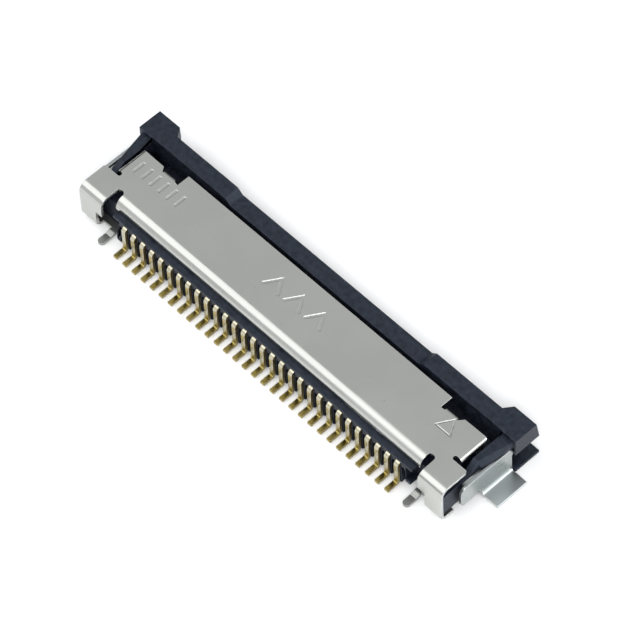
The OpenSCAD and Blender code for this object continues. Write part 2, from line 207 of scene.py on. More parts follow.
soft_panel("panel_behind", (-0.43, -0.44, 0.79), distance=0.32, width=0.40, height=0.23, power=0.36)
soft_panel("panel_right", (0.85, 0.33, 0.42), distance=0.34, width=0.26, height=0.14, power=0.34)
soft_panel("key_above", (0.50, -0.50, 0.85), distance=0.34, width=0.10, height=0.10, power=0.50)

# %% Sky
SKY_COLOUR = (0.97, 0.985, 1.0, 1.0)
SKY_HEIGHTS = (0.10, 0.70)
SKY_STRENGTHS = (0.92, 0.80)
DARK_SIDE = (-0.77, 0.64, 0.0)
DARK_EDGE = (0.66, 0.84)
DARK_STRENGTH = 0.12

sky = bpy.data.worlds.new("studio")
sky.use_nodes = True
sky_tree = sky.node_tree
sky_light = sky_tree.nodes["Background"]
sky_light.inputs["Color"].default_value = SKY_COLOUR
direction = put_node(sky_tree, "ShaderNodeTexCoord").outputs["Generated"]
heights = put_node(sky_tree, "ShaderNodeSeparateXYZ", in0=direction)
fade = ramp(sky_tree, heights.outputs["Z"], *SKY_HEIGHTS, *SKY_STRENGTHS)
towards_dark = put_node(
    sky_tree, "ShaderNodeVectorMath", {"operation": "DOT_PRODUCT"}, in0=direction, in1=DARK_SIDE
)
shade = ramp(sky_tree, towards_dark.outputs["Value"], *DARK_EDGE, 1.0, DARK_STRENGTH)
strength = put_node(sky_tree, "ShaderNodeMath", {"operation": "MULTIPLY"}, in0=fade, in1=shade)
sky_tree.links.new(strength.outputs[0], sky_light.inputs["Strength"])
bpy.context.scene.world = sky
bpy.context.scene.view_settings.view_transform = "Standard"
print("sky strength from", SKY_STRENGTHS[0], "at the side to", SKY_STRENGTHS[1], "overhead")

# %% [markdown]
# ## Effects that several finishes share
# Wear, grain, dust and painted highlights along edges appear on resin, steel and gold alike, only in
# other amounts, and the resin also gets painted shade in its recesses. Each is a shader node group:
# built once, placed in every material that needs it, with its own numbers in its sockets. The
# alternative, copying the nodes into each material, would mean mending every copy later. The groups put
# out masks, colours and normals only, and each material keeps its own shader.

# %% Tools for building node groups
class GroupMaker:
    """Collects the sockets and nodes of one shader node group."""

    def __init__(self, name):
        self.tree = bpy.data.node_groups.new(name, "ShaderNodeTree")
        self.inlet = self.tree.nodes.new("NodeGroupInput")
        self.outlet = self.tree.nodes.new("NodeGroupOutput")

    def takes(self, name, kind, value=None):
        socket = self.tree.interface.new_socket(name, in_out="INPUT", socket_type=kind)
        if value is not None:
            socket.default_value = value

    def gives(self, name, kind):
        self.tree.interface.new_socket(name, in_out="OUTPUT", socket_type=kind)

    def put(self, kind, settings=None, **inputs):
        """Adds a node, sets its options and fills or links its inputs by name."""
        return put_node(self.tree, kind, settings, **inputs)

    def wire(self, source, target):
        self.tree.links.new(source, target)


def math_node(maker, operation, first, second):
    """One step of arithmetic, as an output socket."""
    return maker.put("ShaderNodeMath", {"operation": operation}, in0=first, in1=second).outputs[0]


def position_mm(maker):
    """The place on the piece, counted in millimetres, so that the scales below are easy to read."""
    place = maker.put("ShaderNodeTexCoord")
    scaled = maker.put("ShaderNodeVectorMath", {"operation": "SCALE"}, in0=place.outputs["Object"])
    scaled.inputs["Scale"].default_value = 1.0 / MM
    return scaled.outputs[0]


def ramp_between(maker, value, low, high):
    """0 below low, 1 above high, smooth between them."""
    return ramp(maker.tree, value, low, high)


print("group tools ready")

# %% [markdown]
# ### Cloudy variation
# No plated or moulded surface is the same all over. Soft clouds of two sizes shift its tone and its
# gloss by a few per cent. One noise texture alone looks like a pattern, so a fine one is added.

# %% Group: cloudy variation
clouds = GroupMaker("cloudy_variation")
clouds.takes("Clouds per mm", "NodeSocketFloat", 0.6)
clouds.gives("Mask", "NodeSocketFloat")
cloud_place = position_mm(clouds)
broad = clouds.put("ShaderNodeTexNoise", Vector=cloud_place, Detail=3.0, Roughness=0.55)
clouds.wire(clouds.inlet.outputs["Clouds per mm"], broad.inputs["Scale"])
fine = clouds.put("ShaderNodeTexNoise", Vector=cloud_place, Scale=11.0, Detail=4.0, Roughness=0.6)
mixed = math_node(clouds, "ADD", math_node(clouds, "MULTIPLY", broad.outputs[0], 0.7),
                  math_node(clouds, "MULTIPLY", fine.outputs[0], 0.3))
clouds.wire(ramp_between(clouds, mixed, 0.36, 0.64), clouds.outlet.inputs["Mask"])
print("group:", clouds.tree.name)

# %% [markdown]
# ### Rolling grain
# Sheet metal leaves the mill with fine lines along its length. They come from a noise that is squeezed
# across the lines and stretched along them. Real scratches could be modelled one by one, but at this
# size they're a texture, and height for a bump is enough.

# %% Group: rolling grain
ALONG_THE_ROW = (0.035, 1.0, 1.0)
HAIR_TILT = (0.0, 0.0, 0.6)
HAIR_SQUEEZE = (0.06, 2.6, 2.6)
grain = GroupMaker("rolling_grain")
grain.takes("Lines per mm", "NodeSocketFloat", 30.0)
grain.gives("Height", "NodeSocketFloat")
grain.gives("Scratches", "NodeSocketFloat")
grain_place = position_mm(grain)
squeeze = grain.put("ShaderNodeMapping", Vector=grain_place, Scale=ALONG_THE_ROW)
lines = grain.put("ShaderNodeTexNoise", Vector=squeeze.outputs[0], Detail=5.0, Roughness=0.62)
grain.wire(grain.inlet.outputs["Lines per mm"], lines.inputs["Scale"])
grain.wire(lines.outputs[0], grain.outlet.inputs["Height"])
tilt = grain.put("ShaderNodeMapping", Vector=grain_place, Rotation=HAIR_TILT, Scale=HAIR_SQUEEZE)
hairs = grain.put("ShaderNodeTexNoise", Vector=tilt.outputs[0], Scale=3.0, Detail=2.0, Roughness=0.5)
grain.wire(ramp_between(grain, hairs.outputs[0], 0.67, 0.71), grain.outlet.inputs["Scratches"])
print("group:", grain.tree.name)

# %% [markdown]
# ### Drawn lines and painted streaks
# Where a sheet is rolled over a tool, the tool leaves fine drawn lines along the bend, and these give
# the height of a bump. A noise that is stretched along the row gives the lines. The same lines, darkened
# in the colour, are painted dark streaks of reflection on the bend. The slope of the surface keeps the
# lines off the flat top, and the darker lines off the upright wall too. Lines cut into the mesh would
# cost a great many faces for this.

# %% Group: drawn lines and painted streaks
STRAIGHT_LINES = (0.002, 1.0, 1.0)
drawn = GroupMaker("drawn_lines_and_painted_streaks")
drawn.takes("Lines per mm", "NodeSocketFloat", 9.0)
drawn.gives("Height", "NodeSocketFloat")
drawn.gives("Lines", "NodeSocketFloat")
drawn_squeeze = drawn.put("ShaderNodeMapping", Vector=position_mm(drawn), Scale=STRAIGHT_LINES)
drawn_noise = drawn.put("ShaderNodeTexNoise", Vector=drawn_squeeze.outputs[0], Detail=2.0, Roughness=0.5)
drawn.wire(drawn.inlet.outputs["Lines per mm"], drawn_noise.inputs["Scale"])
drawn_facts = drawn.put("ShaderNodeNewGeometry")
drawn_turn = drawn.put("ShaderNodeSeparateXYZ", Vector=drawn_facts.outputs["Normal"])
rearwards = math_node(drawn, "MULTIPLY", drawn_turn.outputs["Y"], -1.0)
sloping = ramp_between(drawn, rearwards, 0.05, 0.45)
drawn.wire(math_node(drawn, "MULTIPLY", drawn_noise.outputs[0], sloping), drawn.outlet.inputs["Height"])
# The Lines mask paints dark streaks of reflection into the colour, on the slope of a bend only.
thin_lines = ramp_between(drawn, drawn_noise.outputs[0], 0.56, 0.64)
steep = ramp_between(drawn, rearwards, 0.50, 0.70)
not_upright = math_node(drawn, "SUBTRACT", 1.0, ramp_between(drawn, rearwards, 0.94, 0.99))
bend_only = math_node(drawn, "MULTIPLY", steep, not_upright)
drawn.wire(math_node(drawn, "MULTIPLY", thin_lines, bend_only), drawn.outlet.inputs["Lines"])
print("group:", drawn.tree.name)

# %% [markdown]
# ### Mould skin
# A mould that was sparked out leaves a skin of tiny soft pits. A cell texture gives pits of one size and
# a fine noise breaks them up. The pits are far smaller than any edge of the part, so they belong in the
# bump and not in the mesh.

# %% Group: mould skin
skin = GroupMaker("mould_skin")
skin.takes("Pits per mm", "NodeSocketFloat", 26.0)
skin.gives("Height", "NodeSocketFloat")
skin_place = position_mm(skin)
pits = skin.put("ShaderNodeTexVoronoi", {"feature": "SMOOTH_F1"}, Vector=skin_place)
skin.wire(skin.inlet.outputs["Pits per mm"], pits.inputs["Scale"])
dust_like = skin.put("ShaderNodeTexNoise", Vector=skin_place, Scale=70.0, Detail=4.0, Roughness=0.7)
skin_height = math_node(skin, "ADD", math_node(skin, "MULTIPLY", pits.outputs["Distance"], 0.5),
                        math_node(skin, "MULTIPLY", dust_like.outputs[0], 0.5))
skin.wire(skin_height, skin.outlet.inputs["Height"])
print("group:", skin.tree.name)

# %% [markdown]
# ### Edge wear and painted highlight
# Handling polishes corners first. The Bevel node looks at the surface a short way around a point and
# returns the normal that a rounded edge would have. Where that differs from the true normal there is an
# edge. The mask lightens the colour along the edges: on the sheet metal a painted highlight, on the
# resin a painted highlight with some wear, and on the gold wear. Painting the edges by hand would need a
# picture, and this follows any change of shape. Where that differs from the true normal there is an
# edge. Painting the edges by hand would need a picture, and this follows any change of shape.

# %% Group: edge wear and painted highlight
edges = GroupMaker("edge_wear_and_highlight")
edges.takes("Reach mm", "NodeSocketFloat", 0.03)
edges.gives("Mask", "NodeSocketFloat")
edges.gives("Normal", "NodeSocketVector")
reach = math_node(edges, "MULTIPLY", edges.inlet.outputs["Reach mm"], MM)
rounded = edges.put("ShaderNodeBevel", {"samples": 6}, Radius=reach)
facts = edges.put("ShaderNodeNewGeometry")
alike = edges.put("ShaderNodeVectorMath", {"operation": "DOT_PRODUCT"},
                  in0=rounded.outputs[0], in1=facts.outputs["Normal"])
turned = math_node(edges, "SUBTRACT", 1.0, alike.outputs["Value"])
# The mask lightens colours along the edges, a painted highlight with some wear.
edges.wire(ramp_between(edges, turned, 0.02, 0.22), edges.outlet.inputs["Mask"])
edges.wire(rounded.outputs[0], edges.outlet.inputs["Normal"])
print("group:", edges.tree.name)

# %% [markdown]
# ### Recesses
# Deep corners of a moulding get a painted shade: the resin there reflects less than the faces outside,
# as if shade fell in them. The Ambient Occlusion node measures how much open space a point sees. It
# could be painted into a picture too, but then a change of a pocket's size would leave the paint behind.

# %% Group: recesses
recess = GroupMaker("recesses")
recess.takes("Reach mm", "NodeSocketFloat", 0.5)
recess.gives("Openness", "NodeSocketFloat")
recess_reach = math_node(recess, "MULTIPLY", recess.inlet.outputs["Reach mm"], MM)
open_space = recess.put("ShaderNodeAmbientOcclusion", {"samples": 8}, Distance=recess_reach)
recess.wire(ramp_between(recess, open_space.outputs["AO"], 0.30, 0.90), recess.outlet.inputs["Openness"])
print("group:", recess.tree.name)

# %% [markdown]
# ### Specks
# A few grains of dust and resin crumbs lie on every part that wasn't cleaned for a week. A cell texture
# with most of its cells switched off gives sparse round specks.

# %% Group: specks
specks = GroupMaker("specks")
specks.takes("Cells per mm", "NodeSocketFloat", 5.0)
specks.gives("Mask", "NodeSocketFloat")
speck_place = position_mm(specks)
cells = specks.put("ShaderNodeTexVoronoi", {"feature": "F1"}, Vector=speck_place)
specks.wire(specks.inlet.outputs["Cells per mm"], cells.inputs["Scale"])
near = math_node(specks, "SUBTRACT", 1.0, ramp_between(specks, cells.outputs["Distance"], 0.04, 0.10))
split = specks.put("ShaderNodeSeparateColor", Color=cells.outputs["Color"])
chosen = math_node(specks, "GREATER_THAN", split.outputs[0], 0.86)
specks.wire(math_node(specks, "MULTIPLY", near, chosen), specks.outlet.inputs["Mask"])
print("group:", specks.tree.name)

# %% [markdown]
# ## The finishes
# Each finish is one Principled shader. Groups feed its colour, roughness and normal, and every number
# that is the same all over the surface sits on the shader's own sockets.

# %% Tools for a finish
def shaded(colour, factor):
    """A colour made darker or lighter by one factor."""
    return tuple(factor * part for part in colour)


class Finish:
    """One material: its shader, and the shared groups placed around it."""

    def __init__(self, name):
        self.material = bpy.data.materials.new(name)
        self.material.use_nodes = True
        self.tree = self.material.node_tree
        self.shader = self.tree.nodes["Principled BSDF"]

    def put(self, kind, settings=None, **inputs):
        return put_node(self.tree, kind, settings, **inputs)

    def group(self, maker, **inputs):
        """Places a shared group, with its own numbers in its sockets."""
        return put_node(self.tree, "ShaderNodeGroup", {"node_tree": maker.tree}, **inputs)

    def set(self, **values):
        for name, value in values.items():
            self.shader.inputs[name.replace("_", " ")].default_value = value

    def feed(self, name, socket):
        self.tree.links.new(socket, self.shader.inputs[name])

    def blend(self, mask, first, second):
        """Mixes two colours by a mask. A colour may be a value or a socket."""
        node = self.put("ShaderNodeMix", {"data_type": "RGBA"})
        self.tree.links.new(mask, node.inputs[0])
        for slot, colour in ((6, first), (7, second)):
            if isinstance(colour, bpy.types.NodeSocket):
                self.tree.links.new(colour, node.inputs[slot])
            else:
                node.inputs[slot].default_value = (*colour, 1.0)
        return node.outputs[2]

    def scale_between(self, mask, low, high):
        """Turns a mask into a value from low to high."""
        return self.put("ShaderNodeMapRange", Value=mask, To_Min=low, To_Max=high).outputs[0]

    def bump(self, height, depth_mm, normal=None):
        """The normal of a surface with this height, on top of another normal where one is given."""
        node = self.put("ShaderNodeBump", Height=height, Strength=1.0, Distance=depth_mm * MM)
        if normal is not None:
            self.tree.links.new(normal, node.inputs["Normal"])
        return node.outputs[0]


print("finish tools ready")

# %% [markdown]
# ### Moulded resin of the housing
# Connector housings are moulded from a stiff resin full of glass fibre. It is a deep slate black, fine
# and matt, and its colour is lighter along the edges: a painted highlight with some wear. One even black
# would be simpler, but it would look like paint. Inside the recesses it reflects less than on the outer
# faces, a painted shade for the dark of deep gaps. The specular level does that here, and an exported
# model doesn't keep it, so there the recesses shine a little more.

# %% Finish: moulded resin
RESIN_DEEP = (0.0025, 0.0035, 0.0075)
RESIN_CLOUD = (0.012, 0.015, 0.024)
RESIN_EDGE_HIGHLIGHT_AND_WEAR = (0.055, 0.065, 0.085)
RESIN_DUST = (0.16, 0.17, 0.18)
RESIN_ROUGHNESS = (0.46, 0.56)
RESIN_SKIN_MM = 0.013
RECESS_PAINTED_SHADE_GLOSS = 0.12
GLOSS_OUTSIDE = 0.50
resin = Finish("moulded_resin")
resin.set(IOR=1.5, Specular_Tint=(0.72, 0.84, 1.0, 1.0))
resin_recess = resin.group(recess, Reach_mm=0.6)
# Painted shade: the specular level drops in the recesses, as if shade fell there.
resin_recess_shade = resin.scale_between(resin_recess.outputs["Openness"], RECESS_PAINTED_SHADE_GLOSS, GLOSS_OUTSIDE)
resin.feed("Specular IOR Level", resin_recess_shade)
resin_edges = resin.group(edges, Reach_mm=0.03)
resin_clouds = resin.group(clouds, Clouds_per_mm=4.5)
resin_specks = resin.group(specks, Cells_per_mm=4.0)
resin_skin = resin.group(skin, Pits_per_mm=13.0)
tone = resin.blend(resin_clouds.outputs["Mask"], RESIN_DEEP, RESIN_CLOUD)
# Painted highlight with some wear: the resin's colour is lighter along its edges.
tone = resin.blend(resin_edges.outputs["Mask"], tone, RESIN_EDGE_HIGHLIGHT_AND_WEAR)
tone = resin.blend(resin_specks.outputs["Mask"], tone, RESIN_DUST)
resin.feed("Base Color", tone)
resin.feed("Roughness", resin.scale_between(resin_clouds.outputs["Mask"], *RESIN_ROUGHNESS))
resin_normal = resin.bump(resin_skin.outputs["Height"], RESIN_SKIN_MM, resin_edges.outputs["Normal"])
resin.feed("Normal", resin_normal)
print("finish:", resin.material.name)

# %% [markdown]
# ### Satin sheet
# The cover and the brackets are thin spring steel with a plain satin finish, and the hold-downs are
# tinned. The grain runs along the row. The colour is lighter along the edges, a painted highlight, and
# darker in thin lines on the slope of the bends, painted dark streaks of reflection. The feet are dipped
# in solder: that dulls the steel and brightens the tin. Both metals come from one function, since only
# their numbers differ.

# %% Finishes: satin steel and dull tin
SHEET_DUST = (0.36, 0.37, 0.36)
CLOUD_SHADE = 0.94
PAINTED_STREAK_SHADE = 0.60
SCRATCH_GLOSS = -0.06
GRAIN_MM = 0.0019
LINES_MM = 0.006
DIP_LOW = 0.22 * MM
DIP_HIGH = 0.36 * MM


def satin_sheet(name, base, bright, roughness, dip_shade, dip_dullness):
    """Rolled sheet metal with grain, clouds, hair scratches, a painted highlight on its edges, painted
    dark streaks on its bends and dipped feet.
    """
    sheet = Finish(name)
    sheet.set(Metallic=1.0)
    sheet_edges = sheet.group(edges, Reach_mm=0.040)
    sheet_clouds = sheet.group(clouds, Clouds_per_mm=0.35)
    sheet_grain = sheet.group(grain, Lines_per_mm=11.0)
    sheet_specks = sheet.group(specks, Cells_per_mm=2.6)
    sheet_lines = sheet.group(drawn, Lines_per_mm=15.0)
    place = sheet.put("ShaderNodeTexCoord")
    axes = sheet.put("ShaderNodeSeparateXYZ", Vector=place.outputs["Object"])
    above_dip = ramp(sheet.tree, axes.outputs["Z"], DIP_LOW, DIP_HIGH)
    colour = sheet.blend(sheet_clouds.outputs["Mask"], shaded(base, CLOUD_SHADE), base)
    # Painted highlight: the colour is lighter along the edges.
    colour = sheet.blend(sheet_edges.outputs["Mask"], colour, bright)
    colour = sheet.blend(sheet_specks.outputs["Mask"], colour, SHEET_DUST)
    # Painted dark streaks of reflection: thin darker lines on the slope of the bends.
    colour = sheet.blend(sheet_lines.outputs["Lines"], colour, shaded(base, PAINTED_STREAK_SHADE))
    colour = sheet.blend(above_dip, shaded(base, dip_shade), colour)
    sheet.feed("Base Color", colour)
    gloss = sheet.scale_between(sheet_clouds.outputs["Mask"], *roughness)
    rubbed = sheet.put(
        "ShaderNodeMath", {"operation": "MULTIPLY_ADD"},
        in0=sheet_grain.outputs["Scratches"], in1=SCRATCH_GLOSS, in2=gloss,
    )
    dull = sheet.scale_between(above_dip, dip_dullness, 0.0)
    duller = sheet.put("ShaderNodeMath", {"operation": "ADD"}, in0=rubbed.outputs[0], in1=dull)
    sheet.feed("Roughness", duller.outputs[0])
    rolled = sheet.bump(sheet_grain.outputs["Height"], GRAIN_MM)
    sheet.feed("Normal", sheet.bump(sheet_lines.outputs["Height"], LINES_MM, rolled))
    return sheet


cover_steel = satin_sheet(
    "satin_steel", base=(0.50, 0.505, 0.48), bright=(0.88, 0.89, 0.88),
    roughness=(0.18, 0.24), dip_shade=0.72, dip_dullness=0.20,
)
tin = satin_sheet(
    "dull_tin", base=(0.42, 0.445, 0.445), bright=(0.84, 0.86, 0.86),
    roughness=(0.24, 0.32), dip_shade=1.40, dip_dullness=0.03,
)
print("finishes:", cover_steel.material.name, tin.material.name)

# %% [markdown]
# ### Stamped line
# The punch flattens the satin skin of the cover and leaves its own duller one in the groove. The cover's
# finish could run on into the grooves, but then they would show by their shape alone.

# %% Finish: stamped line
STAMPED_DARK = (0.44, 0.45, 0.43)
STAMPED_PALE = (0.52, 0.53, 0.50)
STAMPED_ROUGHNESS = (0.34, 0.44)
STAMPED_SKIN_MM = 0.002
stamped = Finish("stamped_line")
stamped.set(Metallic=1.0)
stamped_clouds = stamped.group(clouds, Clouds_per_mm=5.0)
stamped_skin = stamped.group(skin, Pits_per_mm=30.0)
stamped_tone = stamped.blend(stamped_clouds.outputs["Mask"], STAMPED_DARK, STAMPED_PALE)
stamped.feed("Base Color", stamped_tone)
stamped_gloss = stamped.scale_between(stamped_clouds.outputs["Mask"], *STAMPED_ROUGHNESS)
stamped.feed("Roughness", stamped_gloss)
stamped.feed("Normal", stamped.bump(stamped_skin.outputs["Height"], STAMPED_SKIN_MM))
print("finish:", stamped.material.name)

# %% [markdown]
# ### Sheared edge
# Where a punch cut the sheet, the edge is half burnished and half torn, so it is rougher and more uneven
# in tone than the rolled faces. The tears could be modelled, but they are too fine to see one by one, so
# the bump of the mould skin stands in for them.

# %% Finishes: sheared edges
CUT_DARK = 0.8
CUT_PAINTED_HIGHLIGHT = 1.3
CUT_ROUGHNESS = (0.38, 0.52)
CUT_SKIN_MM = 0.003


def sheared(name, base):
    """The cut side of a sheet or strip."""
    cut = Finish(name)
    cut.set(Metallic=1.0)
    cut_edges = cut.group(edges, Reach_mm=0.015)
    cut_clouds = cut.group(clouds, Clouds_per_mm=6.0)
    cut_skin = cut.group(skin, Pits_per_mm=40.0)
    colour = cut.blend(cut_clouds.outputs["Mask"], shaded(base, CUT_DARK), base)
    # Painted highlight: the colour of the cut side is lighter along its corners.
    colour = cut.blend(cut_edges.outputs["Mask"], colour, shaded(base, CUT_PAINTED_HIGHLIGHT))
    cut.feed("Base Color", colour)
    cut.feed("Roughness", cut.scale_between(cut_clouds.outputs["Mask"], *CUT_ROUGHNESS))
    cut.feed("Normal", cut.bump(cut_skin.outputs["Height"], CUT_SKIN_MM, cut_edges.outputs["Normal"]))
    return cut


steel_edge = sheared("sheared_steel", (0.68, 0.70, 0.69))
gold_edge = sheared("sheared_contact", (0.40, 0.33, 0.17))
print("finishes:", steel_edge.material.name, gold_edge.material.name)

# %% [markdown]
# ### Thin gold on the contacts
# The feet carry a thin flash of gold over nickel. The gold is deepest on the feet, which see the most
# plating, and paler up the stem. Two materials with a border between them could do that, but plating
# fades out, so the height of a point blends the two tones.

# %% Finish: thin gold
GOLD_DEEP = (0.30, 0.24, 0.07)
GOLD_CLOUD = (0.38, 0.31, 0.11)
GOLD_PALE = (0.52, 0.49, 0.37)
GOLD_RUBBED = (0.78, 0.72, 0.52)
PALE_FROM = 0.15 * MM
PALE_ABOVE = 0.75 * MM
GOLD_ROUGHNESS = (0.20, 0.32)
GOLD_GRAIN_MM = 0.001
gold = Finish("thin_gold")
gold.set(Metallic=1.0)
gold_edges = gold.group(edges, Reach_mm=0.015)
gold_clouds = gold.group(clouds, Clouds_per_mm=3.0)
gold_grain = gold.group(grain, Lines_per_mm=60.0)
place = gold.put("ShaderNodeTexCoord")
axes = gold.put("ShaderNodeSeparateXYZ", Vector=place.outputs["Object"])
up_the_stem = ramp(gold.tree, axes.outputs["Z"], PALE_FROM, PALE_ABOVE)
plated = gold.blend(gold_clouds.outputs["Mask"], GOLD_DEEP, GOLD_CLOUD)
plated = gold.blend(up_the_stem, plated, GOLD_PALE)
plated = gold.blend(gold_edges.outputs["Mask"], plated, GOLD_RUBBED)
gold.feed("Base Color", plated)
gold.feed("Roughness", gold.scale_between(gold_clouds.outputs["Mask"], *GOLD_ROUGHNESS))
gold_normal = gold.bump(gold_grain.outputs["Height"], GOLD_GRAIN_MM, gold_edges.outputs["Normal"])
gold.feed("Normal", gold_normal)
print("finish:", gold.material.name)

# %% [markdown]
# ### Pale floor
# A sheet of matt white card. It has no texture, so that the soft shadow is all that is seen on it.

# %% Finish: pale floor
paper = Finish("pale_floor")
paper.set(Base_Color=(0.93, 0.93, 0.93, 1.0), Roughness=0.9)
floor.data.materials.append(paper.material)
print("finish:", paper.material.name)

# %% [markdown]
# ## Stamped marks
# The cover carries marks that a punch pressed into it: a triangle over the first contact, a sign that
# shows where to press, and a row of plain bars. Each is a shallow groove with sloping flanks. They are
# cut as real grooves, since a bump would lose the light and dark flanks that they have on satin metal.

# %% Build one groove
MARK_DEPTH = 0.020 * MM
MARK_RISE = 0.004 * MM
COVER_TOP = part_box("lock_cover")[1].z


def direction_at(points, i, closed):
    """The direction before and after one point of a line, as two unit vectors."""
    last = len(points) - 1
    before = points[i] - points[i - 1] if closed or i > 0 else points[i + 1] - points[i]
    after = points[(i + 1) % len(points)] - points[i] if closed or i < last else before
    return before.normalized(), after.normalized()


def groove(work, points_mm, widths, closed=False, shift=0.0):
    """Adds the solid of one groove that follows a line of points on the cover's top.

    The two widths are at the cover's top and at the groove's floor. The solid stands a little above the
    top, so that the cut goes cleanly through the surface.
    """
    points = [Vector((x + shift, y)) * MM for x, y in points_mm]
    half_floor = widths[1] / 2
    flank = widths[0] / 2 - half_floor
    half = half_floor + flank * (1 + MARK_RISE / MARK_DEPTH)
    last = len(points) - 1
    rings = []
    for i, point in enumerate(points):
        before, after = direction_at(points, i, closed)
        along = (before + after).normalized()
        side = Vector((-along.y, along.x))
        mitre = side / side.dot(Vector((-after.y, after.x)))
        slope = 0.0 if closed or 0 < i < last else (flank if i == 0 else -flank)
        bottom = point + along * slope
        rings.append([
            work.verts.new((*(point + mitre * half), COVER_TOP + MARK_RISE)),
            work.verts.new((*(point - mitre * half), COVER_TOP + MARK_RISE)),
            work.verts.new((*(bottom - mitre * half_floor), COVER_TOP - MARK_DEPTH)),
            work.verts.new((*(bottom + mitre * half_floor), COVER_TOP - MARK_DEPTH)),
        ])
    for i in range(len(points) if closed else last):
        first, second = rings[i], rings[(i + 1) % len(points)]
        for a, b in ((0, 1), (1, 2), (2, 3), (3, 0)):
            work.faces.new((first[a], first[b], second[b], second[a]))
    if not closed:
        work.faces.new(rings[0])
        work.faces.new(list(reversed(rings[-1])))


print("grooves are", round(MARK_DEPTH / MM, 3), "mm deep")

# %% [markdown]
# ### Where the marks stand
# The marks are lines of points in millimetres on the cover's top. All grooves go into one cutter, and an
# exact boolean takes it out of the cover. The faces could be moved down by hand, but the boolean keeps
# the sheet a closed solid. The faces of the grooves are found again by their place and slope.

# %% Cut the marks into the cover
TRIANGLE_MM = [(7.35, 2.20), (7.73, 2.84), (8.11, 2.20)]
PRESS_SIGN_MM = [(-0.42, 2.03), (0.0, 2.68), (0.42, 2.03)]
PRESS_SIGNS_X_MM = (-1.1, 0.0, 1.1)
BAR_MM = [(0.0, 2.10), (0.0, 2.70)]
BARS_X_MM = [-8.60 + 0.45 * i for i in range(6)]
WIDE = (0.150 * MM, 0.084 * MM)
NARROW = (0.078 * MM, 0.010 * MM)
MARK_REAR = 1.80 * MM
MARK_FRONT = 2.95 * MM
LEVEL = 0.99


def stamp_marks(work):
    """Cuts the grooves into the cover and returns their faces."""
    cutter = bmesh.new()
    groove(cutter, TRIANGLE_MM, NARROW, closed=True)
    for x in PRESS_SIGNS_X_MM:
        groove(cutter, PRESS_SIGN_MM, WIDE, shift=x)
    for x in BARS_X_MM:
        groove(cutter, BAR_MM, WIDE, shift=x)
    bmesh.ops.recalc_face_normals(cutter, faces=cutter.faces)
    blank_mesh = bpy.data.meshes.new("cover_blank")
    cutter_mesh = bpy.data.meshes.new("mark_cutter")
    work.to_mesh(blank_mesh)
    cutter.to_mesh(cutter_mesh)
    cutter.free()
    blank = linked("cover_blank", blank_mesh)
    punch = linked("mark_cutter", cutter_mesh)
    press = blank.modifiers.new("press", "BOOLEAN")
    press.operation = "DIFFERENCE"
    press.solver = "EXACT"
    press.object = punch
    bpy.context.view_layer.update()
    graph = bpy.context.evaluated_depsgraph_get()
    work.clear()
    work.from_mesh(blank.evaluated_get(graph).to_mesh())
    for made in (blank, punch):
        bpy.data.objects.remove(made)
    lowest = COVER_TOP - 1.1 * MARK_DEPTH
    stamped_faces = [
        face for face in work.faces
        if face.normal.z < LEVEL
        and all(v.co.z > lowest and MARK_REAR < v.co.y < MARK_FRONT for v in face.verts)
    ]
    print("faces in the stamped grooves:", len(stamped_faces))
    return stamped_faces


print("marks:", 1 + len(PRESS_SIGNS_X_MM) + len(BARS_X_MM))

# %% [markdown]
# ## Dressing the solids
# A CAD edge is perfectly sharp, and a real one never is. Each solid is copied, its triangles are joined
# back into whole faces, and every sharp edge gets a narrow rounding that can catch light. The copy
# stands for the solid in the picture. Such roundings could be drawn in CAD too, but there they would
# multiply the faces that every check has to measure.
#
# A side that a punch cut and a tool then bent, such as the side of a contact, is shaped like a hook. The
# middle of its corners lies beside the metal, so a ray that starts there meets nothing, and this finds
# these sides for the sheared finish. It also finds the inner face of the cover's two latch hooks, which
# the housing hides. Straight cut edges keep the finish of the sheet.

# %% Copy a solid and sort its faces
SAME_POINT = 0.0002 * MM
FLAT_WITHIN = math.radians(0.5)
JUST_INSIDE = 0.001 * MM
LONGEST_RAY = 60 * MM
TOUCHING = 0.001 * MM
FACE_TO_FACE = -0.99


def joined_faces(node):
    """The solid's mesh with its points merged and its flat triangles joined into faces."""
    work = bmesh.new()
    work.from_mesh(frame["nodes"][node].data)
    bmesh.ops.remove_doubles(work, verts=work.verts, dist=SAME_POINT)
    bmesh.ops.dissolve_limit(
        work, angle_limit=FLAT_WITHIN, verts=work.verts, edges=work.edges, delimit={"NORMAL"}
    )
    bmesh.ops.recalc_face_normals(work, faces=work.faces)
    return work


def mark_hooked_faces(work):
    """Gives the second finish to faces so hooked that their middle lies beside the metal."""
    tree = BVHTree.FromBMesh(work)
    for face in work.faces:
        start = face.calc_center_median() - face.normal * JUST_INSIDE
        distance = tree.ray_cast(start, -face.normal, LONGEST_RAY)[3]
        face.material_index = 1 if distance is None else 0


def open_the_seam(work, other):
    """Takes away faces that lie on another solid's faces, so that the two read as one sheet."""
    tree = BVHTree.FromBMesh(other)
    seam = []
    for face in work.faces:
        _, normal, _, distance = tree.find_nearest(face.calc_center_median())
        if distance < TOUCHING and normal.dot(face.normal) < FACE_TO_FACE:
            seam.append(face)
    bmesh.ops.delete(work, geom=seam, context="FACES")
    return len(seam)


print("sorting tools ready")

# %% [markdown]
# ### Corner normals
# Every corner of a face carries a normal, and a reflection follows these normals. On a flat face it has
# to be the face's own, on a bend that of the bend's cylinder, and on a rounding it goes over from one
# neighbour to the other. Blender can average the normals of neighbours by their area, which is quicker,
# but on thin sheet that warps the reflections, so they are worked out here.

# %% Work out the corner normals
BEND_SLACK = 0.004 * MM
BEND_STRIP = 0.09 * MM
BEND_REACH = math.cos(math.radians(26))
BEND_FACING = 0.8
ROUNDING_REACH = math.cos(math.radians(60))
RULING_SHARE = 3


